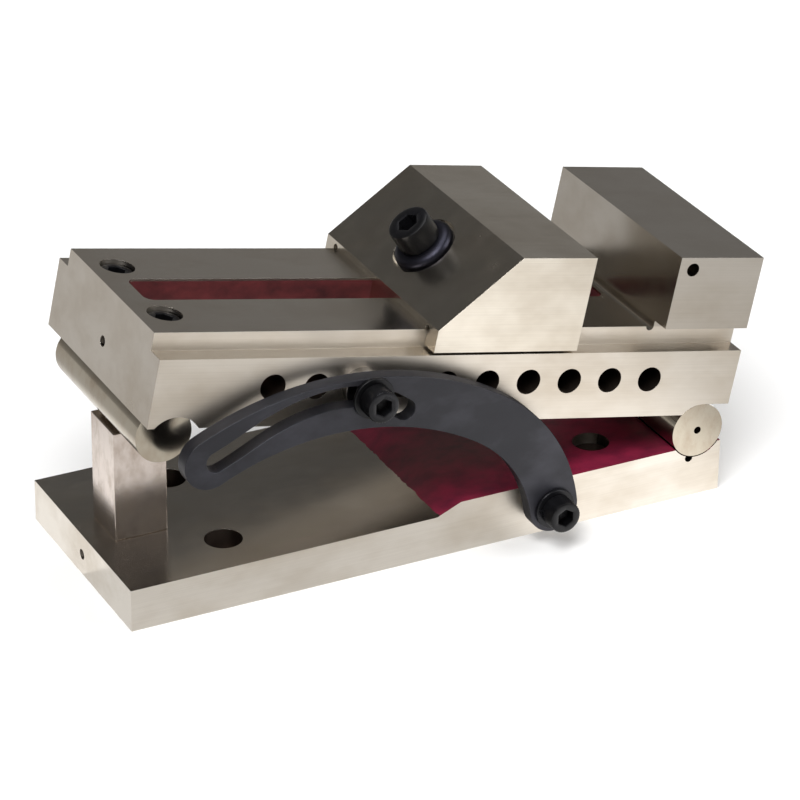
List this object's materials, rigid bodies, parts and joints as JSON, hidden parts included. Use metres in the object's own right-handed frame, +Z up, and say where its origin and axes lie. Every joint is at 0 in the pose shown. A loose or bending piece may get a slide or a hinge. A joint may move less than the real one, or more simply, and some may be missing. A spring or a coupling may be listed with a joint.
{
  "type": "sine vise",
  "caption": "Precision vise on a base plate: its body tilts on a roller hinge and rests on a setting block, with a screw-driven jaw and a slotted arm that locks the angle.",
  "frame": {"origin": "centre of the base plate's underside", "axes": "+X along the vise towards the hinge, +Y to the side away from the locking arm, +Z up"},
  "size_m": [0.2088, 0.0884, 0.0967],
  "materials": {
    "ground_steel": "ground",
    "roller_steel": "polished",
    "block_steel": "lapped",
    "black_oxide": "satin black oxide",
    "screw_steel": "black oxide",
    "plain_steel": "turned"
  },
  "bodies": {
    "base": {"base_plate": "ground_steel", "hinge_lug": "ground_steel", "hinge_lug_screws": "screw_steel", "hinge_lug_dowels": "roller_steel", "pivot_bush": "plain_steel", "pivot_washer": "plain_steel", "pivot_screw": "screw_steel"},
    "bed": {"vise_body": "ground_steel", "hinge_roller_front": "roller_steel", "hinge_roller_rear": "roller_steel", "hinge_pin": "roller_steel", "hinge_roller_screws": "screw_steel", "rest_roller": "roller_steel", "rest_roller_screws": "screw_steel", "clamp_anchor": "plain_steel"},
    "arm": {"locking_arm": "black_oxide"},
    "clamp": {"clamp_screw": "screw_steel", "clamp_washer": "plain_steel"},
    "jaw": {"movable_jaw": "ground_steel", "jaw_keeper": "plain_steel", "jaw_keeper_screws": "screw_steel", "jaw_seat_washer": "plain_steel"},
    "jaw_driver": {"jaw_screw": "screw_steel"},
    "nut": {"cross_nut": "plain_steel"},
    "block": {"setting_block": "block_steel"}
  },
  "joints": [
    {"name": "bed_tilt", "type": "hinge", "parent": "base", "child": "bed", "pos_m": [0.09, 0, 0.02225], "axis": [0, 1, 0], "range_deg": [0, 33.45]},
    {"name": "arm_swing", "type": "hinge", "parent": "base", "child": "arm", "pos_m": [0.0358, -0.0425, 0.0125], "axis": [0, 1, 0], "range_deg": [0, 54.91]},
    {"name": "clamp_spin", "type": "hinge", "parent": "bed", "child": "clamp", "pos_m": [-0.02544, -0.046, 0.0637], "axis": [0, -1, 0], "continuous": true},
    {"name": "jaw_slide", "type": "slide", "parent": "bed", "child": "jaw", "axis": [0.9798, 0, -0.2002], "range_m": [-0.0697, 0.0296]},
    {"name": "jaw_screw_spin", "type": "hinge", "parent": "jaw", "child": "jaw_driver", "pos_m": [0.01363, 0, 0.0846], "axis": [0.5366, 0, -0.8438], "range_deg": [-1080, 144]},
    {"name": "nut_travel", "type": "slide", "parent": "jaw", "child": "nut", "axis": [-0.5366, 0, 0.8438], "range_m": [-0.00376, 0.00051]},
    {"name": "block_slide", "type": "slide", "parent": "base", "child": "block", "axis": [1, 0, 0], "range_m": [-0.007, 0.045]}
  ],
  "couplings": [
    {"joint": "arm_swing", "follows": "bed_tilt", "ratio": 1.64}
  ]
}
